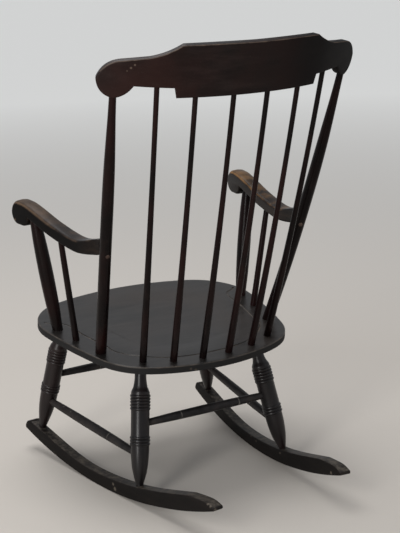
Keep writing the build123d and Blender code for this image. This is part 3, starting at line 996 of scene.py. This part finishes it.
# the darkest colour in the arm's look is painted shade, laid on the outer side and underside
armLook = {
    **stain, "grain": (60, 6, 60), "dark": (0.0035, 0.0024, 0.002),
    "middle": (0.0075, 0.005, 0.004), "light": (0.018, 0.012, 0.0085),
    "undertone": (0.018, 0.009, 0.006), "gloss": (0.24, 0.38), "shine": 0.12, "dust": 0.08,
    "paintedShade": (0.002, 0.0014, 0.0012), "worn": (0.17, 0.11, 0.07), "wearFrom": 0.66,
    "wearTo": 1.45, "wearShare": 0.85, "wearScale": 26.0,
    "spots": [(0.312, -0.237, 0.6114, 0.004)],
}
armFinish = {
    "left": woodFinish("armStainLeft", armLook),
    "right": woodFinish("armStainRight", {**armLook, "worn": (0.3, 0.16, 0.065), "spots": []}),
}
left = sawBoard("armRest_left", armOutline(), armWide, arm["rounding"], 5)
sliceAcross(left, *arm["slices"])
taperArm(left)
for share in arm["rows"]:
    bisectAt(left, (0, 0, armShift + share * armWide), (0, 0, 1))
tidyMesh(left, 50)
crownArm(left)
left.data.transform(armPlane)
tidyMesh(left, 50)
copeArm(left)
keepLargest(left)
tidyMesh(left, 50)
markPoints(left, wear=armWear, shade=armShade)
dressPair(left, armFinish["left"], "arm_wood", "arm", armFinish["right"])

support = {
    "post": {"foot": (0.252, -0.098), "station": 0.251, "sizes": (0.0244, 0.033, 0.0244)},
    "spindle": {"foot": (0.2415, -0.0235), "station": 0.146, "sizes": (0.0158, 0.0142, 0.0125)},
}
supportSwell = [(0.05, 0.12), (0.22, 0.7)]    # share of the length, and of the swell
supportTenons = (0.015, 0.014)
for name, place in support.items():
    foot = onSeat(*place["foot"])
    share = (place["station"] - arm["dip"]) / (arm["riseStation"] - arm["dip"])
    underArm = arm["height"] - arm["depth"] + share * arm["rise"]
    head = armPlane @ Vector((place["station"], underArm, 0))
    low, middle, high = place["sizes"]
    sizes = [(0, low)]
    sizes += [(share, blend(low, middle, part)) for share, part in supportSwell]
    sizes.append((0.5, middle))
    sizes += [(1 - share, blend(high, middle, part)) for share, part in reversed(supportSwell)]
    sizes.append((1, high))
    left = turnBetween("armSupport_" + name + "_left", foot, head, sizes, supportTenons, sides=36)
    dressPair(left, uprightFinish, "arm_wood", "arm_" + name)
print("rocking chair: arms and their supports made")


seat = {
    "rim": 0.016, "rimFlare": 0.0025, "rimPoints": 220, "rounding": 0.0028,
    "undercut": 0.044, "lip": 0.0001, "lipEase": (0.0012, 0.0006),
    "dish": 0.0045, "dishMiddle": -0.035, "dishHalf": (0.205, 0.2), "dishFade": (1.02, 0.55),
    "rings": 18, "ringStep": 0.0068,
    "groove": [(0.262, -0.150), (0.255, -0.141), (0.240, -0.133), (0.229, -0.124), (0.220, -0.105),
               (0.217, -0.088), (0.215, -0.051), (0.206, 0.002), (0.198, 0.040), (0.194, 0.076),
               (0.170, 0.111), (0.139, 0.138), (0.103, 0.159), (0.065, 0.169), (0.035, 0.173),
               (0, 0.174)],
    "grooveWidth": 0.0028, "grooveDepth": 0.0021,
    "edgeWear": 0.75, "wearDepth": (0.0002, 0.0022), "wearSlope": (0.3, 0.97), "shadeSlope": 0.35,
}


def seatRim():
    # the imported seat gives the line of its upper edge
    work = bmesh.new()
    work.from_mesh(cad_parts["seat"].data)
    bmesh.ops.transform(work, matrix=seatPlane.inverted(), verts=work.verts)
    bmesh.ops.remove_doubles(work, verts=work.verts, dist=0.00002)
    top = {f for f in work.faces if all(abs(v.co.z) < 0.00005 for v in f.verts)}
    rim = [e for e in work.edges if len([f for f in e.link_faces if f in top]) == 1]
    links = {}
    for e in rim:
        a, b = e.verts
        links.setdefault(a, []).append(b)
        links.setdefault(b, []).append(a)
    start = max(links, key=lambda v: v.co.x)
    order = [start]
    step = links[start][0]
    while step is not start:
        order.append(step)
        step = [v for v in links[step] if v is not order[-2]][0]
    line = [Vector((v.co.x, v.co.y)) for v in order]
    work.free()
    return line


def evenLoop(line, count):
    # the same closed line with evenly spaced points, its corners softened a little
    closed = line + [line[0]]
    lengths = [0]
    for a, b in zip(closed, closed[1:]):
        lengths.append(lengths[-1] + (b - a).length)
    out = []
    k = 0
    for i in range(count):
        want = lengths[-1] * i / count
        while lengths[k + 1] < want:
            k += 1
        t = (want - lengths[k]) / (lengths[k + 1] - lengths[k])
        out.append(closed[k].lerp(closed[k + 1], t))
    for _ in range(2):
        out = [(out[i - 1] + 2 * out[i] + out[(i + 1) % count]) / 4 for i in range(count)]
    area = sum(a.x * b.y - b.x * a.y for a, b in zip(out, out[1:] + out[:1]))
    if area < 0:
        out.reverse()
    return out


def seatDish(x, y):
    start, run = seat["dishFade"]
    reach = math.hypot(x / seat["dishHalf"][0], (y - seat["dishMiddle"]) / seat["dishHalf"][1])
    return seat["dish"] * softStep(within((start - reach) / run))


def isBroad(face):
    # the board's top or bottom, whose corners are the rim's points
    return len(face.vertices) > seat["rimPoints"] / 2


def seatBlank():
    # the top is drawn down to the rim's foot, and drawn in to the bottom
    rimLine = evenLoop(seatRim(), seat["rimPoints"])
    outer = []
    for i, spot in enumerate(rimLine):
        run = rimLine[(i + 1) % len(rimLine)] - rimLine[i - 1]
        outer.append(spot + Vector((run.y, -run.x)).normalized() * seat["rimFlare"])
    mesh = bpy.data.meshes.new("seatBoard")
    mesh.from_pydata([(p.x, p.y, 0) for p in outer], [], [list(range(len(outer)))])
    piece = bpy.data.objects.new("seatBoard", mesh)
    bpy.context.collection.objects.link(piece)
    easeIn, easeDown = seat["lipEase"]
    pickFaces(piece, isBroad)
    bpy.ops.mesh.extrude_region_move(TRANSFORM_OT_translate={"value": (0, 0, -seat["rim"])})
    bpy.ops.mesh.extrude_region_move(TRANSFORM_OT_translate={"value": (0, 0, -seat["lip"])})
    bpy.ops.mesh.inset(thickness=easeIn, depth=easeDown, use_boundary=True)
    bpy.ops.mesh.inset(thickness=seat["undercut"] - easeIn, depth=0.0)
    leaveEdit()
    for face in piece.data.polygons:
        if isBroad(face) and face.center.z < -seat["rim"] / 2:
            for i in face.vertices:
                piece.data.vertices[i].co.z = -seatThickness
    return piece


def roundTopEdge(piece):
    editAll(piece)
    bpy.ops.mesh.normals_make_consistent(inside=False)
    leaveEdit()
    pickFaces(piece, lambda face: isBroad(face) and face.center.z > -0.001)
    bpy.ops.mesh.region_to_loop()
    bpy.ops.mesh.bevel(offset=seat["rounding"], segments=4, affect="EDGES")
    leaveEdit()


def dishTop(piece):
    # rings of faces are drawn in from the rim, then sunk
    top = max((f for f in piece.data.polygons if isBroad(f)), key=lambda f: f.center.z).index
    pickFaces(piece, lambda face: face.index == top)
    for _ in range(seat["rings"]):
        bpy.ops.mesh.inset(thickness=seat["ringStep"], depth=0)
    leaveEdit()
    for v in piece.data.vertices:
        if v.co.z > -0.0005:
            v.co.z -= seatDish(v.co.x, v.co.y)


def cutGroove(piece):
    half = curveThrough(seat["groove"], 8)
    path = half + [(-x, y) for x, y in reversed(half[:-1])]
    above = seat["grooveWidth"] - seat["grooveDepth"]
    gouge = meshOfCurve("grooveTool", [(x, y, above - seatDish(x, y)) for x, y in path], False,
                        dimensions="3D", bevel_depth=seat["grooveWidth"], bevel_resolution=3,
                        use_fill_caps=True)
    tidyMesh(gouge)
    applyModifier(piece, "BOOLEAN", operation="DIFFERENCE", object=gouge, solver="EXACT")
    bpy.data.objects.remove(gouge)
    tidyMesh(piece, 40)


def seatWear(co, normal):
    # only the rounded upper edge
    shallow, deep = seat["wearDepth"]
    steep, flat = seat["wearSlope"]
    rounded = shallow < -co.z < deep and steep < normal.z < flat
    return seat["edgeWear"] if rounded else 0


def seatShade(co, normal):
    # painted shade on the rim and the underside
    return 1 if normal.z < seat["shadeSlope"] else 0


# the darkest colour in the seat's look is painted shade, laid on the rim band and underside
seatFinish = woodFinish("seatStain", {
    **stain, "grain": (8, 70, 70), "dark": (0.0065, 0.0055, 0.005),
    "middle": (0.0115, 0.0098, 0.009), "light": (0.021, 0.018, 0.0165),
    "undertone": (0.028, 0.0205, 0.0165), "cloudScale": 5.0, "cloudShare": 0.7,
    "gloss": (0.3, 0.42), "shine": 0.36, "dust": 0.1, "flecks": (0.03, 30.0),
    "paintedShade": (0.003, 0.0025, 0.0025), "worn": (0.13, 0.1, 0.075),
    "wearFrom": 1.1, "wearShare": 0.6,
    "spots": [(0.0794, 0.1441, 0.3071, 0.007), (0.0677, 0.1457, 0.303, 0.007),
              (-0.2326, -0.1962, 0.3576, 0.004), (-0.2253, -0.1614, 0.3534, 0.003),
              (-0.1621, 0.0507, 0.3281, 0.004), (-0.092, 0.0819, 0.3244, 0.003)],
})
seatBoard = seatBlank()
roundTopEdge(seatBoard)
dishTop(seatBoard)
cutGroove(seatBoard)
markPoints(seatBoard, wear=seatWear, shade=seatShade)
seatBoard.data.transform(seatPlane)
dress(seatBoard, seatFinish, "seat_wood", "seat")
print("rocking chair: seat shaped and grooved")


# plugs cover the screws that hold the arms to the back posts
plug = {
    "radius": 0.0048, "height": 0.0014, "above": 0.5865, "sunk": 0.0008, "postRadius": 0.0131,
    "shape": [(0, 1), (0.6, 1), (0.9, 0.9), (1.1, 0.6), (1.2, 0.2)],    # share of height and radius
    "facing": {"left": (0.07, 1, 0), "right": (0.33, 0.94, 0)},
}
plugFinish = woodFinish("plugStain", {
    **stain, "grain": (90, 90, 90), "dark": (0.03, 0.02, 0.016), "middle": (0.075, 0.05, 0.04),
    "light": (0.14, 0.1, 0.08), "gloss": (0.35, 0.5),
})
foot, head = postLine
run = (head - foot).normalized()
share = (plug["above"] - foot.z) / (head.z - foot.z)
middle = foot.lerp(head, share) + postOutward * 4 * upright["postBow"] * share * (1 - share)
marks = [(high * plug["height"], wide * plug["radius"]) for high, wide in plug["shape"]]
for side, facing in plug["facing"].items():
    axis = middle if side == "left" else otherSide(middle)
    along = run if side == "left" else otherSide(run)
    facing = Vector(facing)
    facing = (facing - along * facing.dot(along)).normalized()
    spot = axis + facing * (plug["postRadius"] - plug["sunk"])
    piece = turnPiece("screwPlug_" + side, spot, spot + facing, marks, sides=24)
    dress(piece, plugFinish, "frame_wood")
print("rocking chair: plugs set")


studio = {
    "floorSize": 60, "floorColour": (0.55, 0.51, 0.465), "floorRoughness": 0.85,
    "farColour": (0.86, 0.9, 0.92), "farGlow": 0.46, "farFrom": 1.0, "farTo": 7.0,
    "sky": 0.46, "skyColour": (0.9, 0.92, 0.95),
    "lamps": {
        "keyLight": {"spot": (2.9, 1.7, 1.35), "aim": (0, 0, 0.4), "size": (0.8, 2.3),
                     "power": 66.0, "colour": (1, 0.99, 0.97)},
        "fillLight": {"spot": (-2.4, 2.2, 1.8), "aim": (0, 0, 0.5), "size": (1.8, 1.6),
                      "power": 4.0, "colour": (0.95, 0.97, 1)},
        "topLight": {"spot": (0.2, -0.8, 3.0), "aim": (0, 0, 0.4), "size": (2.2, 2.2),
                     "power": 54.0, "colour": (1, 1, 1)},
    },
}


def floorFinish():
    # plain and pale, and far off it glows a little, so that it fades into the sky
    finish, tree, shader = newFinish("floorPaint")
    shader.inputs["Base Color"].default_value = (*studio["floorColour"], 1)
    shader.inputs["Roughness"].default_value = studio["floorRoughness"]
    coords = nodeAt(tree, "ShaderNodeTexCoord", -1000, -200).outputs["Object"]
    away = nodeAt(tree, "ShaderNodeVectorMath", -800, -200, operation="LENGTH")
    tree.links.new(coords, away.inputs[0])
    fade = rangeNode(tree, -600, -200, away.outputs["Value"], studio["farFrom"], studio["farTo"],
                     0.0, studio["farGlow"])
    rays = nodeAt(tree, "ShaderNodeLightPath", -800, -450).outputs
    seen = mathNode(tree, -500, -450, "ADD", rays["Is Camera Ray"], rays["Is Glossy Ray"])
    seen = mathNode(tree, -400, -450, "ADD", seen, rays["Is Transmission Ray"])
    glow = mathNode(tree, -300, -300, "MULTIPLY", fade, seen)
    tree.links.new(glow, shader.inputs["Emission Strength"])
    shader.inputs["Emission Color"].default_value = (*studio["farColour"], 1)
    return finish


bpy.ops.object.select_all(action="DESELECT")
bpy.ops.mesh.primitive_plane_add(size=studio["floorSize"], location=(0, 0, 0))
floor = bpy.context.object
floor.name = "studioFloor"
floor.data.materials.append(floorFinish())

for name, look in studio["lamps"].items():
    bpy.ops.object.light_add(type="AREA", location=look["spot"])
    lamp = bpy.context.object
    lamp.name = name
    lamp.data.shape = "RECTANGLE"
    lamp.data.size, lamp.data.size_y = look["size"]
    lamp.data.energy = look["power"]
    lamp.data.color = look["colour"]
    lamp.rotation_mode = "QUATERNION"
    aim = Vector(look["aim"]) - Vector(look["spot"])
    lamp.rotation_quaternion = aim.to_track_quat("-Z", "Y")

world = bpy.data.worlds.new("studioWorld")
bpy.context.scene.world = world
world.use_nodes = True
sky = world.node_tree.nodes["Background"]
sky.inputs["Strength"].default_value = studio["sky"]
sky.inputs["Color"].default_value = (*studio["skyColour"], 1)

view = {
    "place": (1.55353, 2.68472, 1.27785),
    "right": (-0.85607, 0.51599, -0.03001),
    "forward": (-0.49435, -0.83436, -0.24385),
    "lens": 94.56, "sensor": 36, "farthest": 60,
}
right = Vector(view["right"]).normalized()
back = -Vector(view["forward"]).normalized()
up = back.cross(right)
bpy.ops.object.camera_add(location=view["place"])
camera = bpy.context.object
camera.name = "viewCamera"
camera.rotation_mode = "QUATERNION"
camera.rotation_quaternion = Matrix((right, up, back)).transposed().to_quaternion()
camera.data.lens = view["lens"]
camera.data.sensor_width = view["sensor"]
camera.data.clip_end = view["farthest"]
bpy.context.scene.camera = camera
bpy.context.scene.view_settings.view_transform = "Standard"
print("rocking chair: stage, light and camera set")
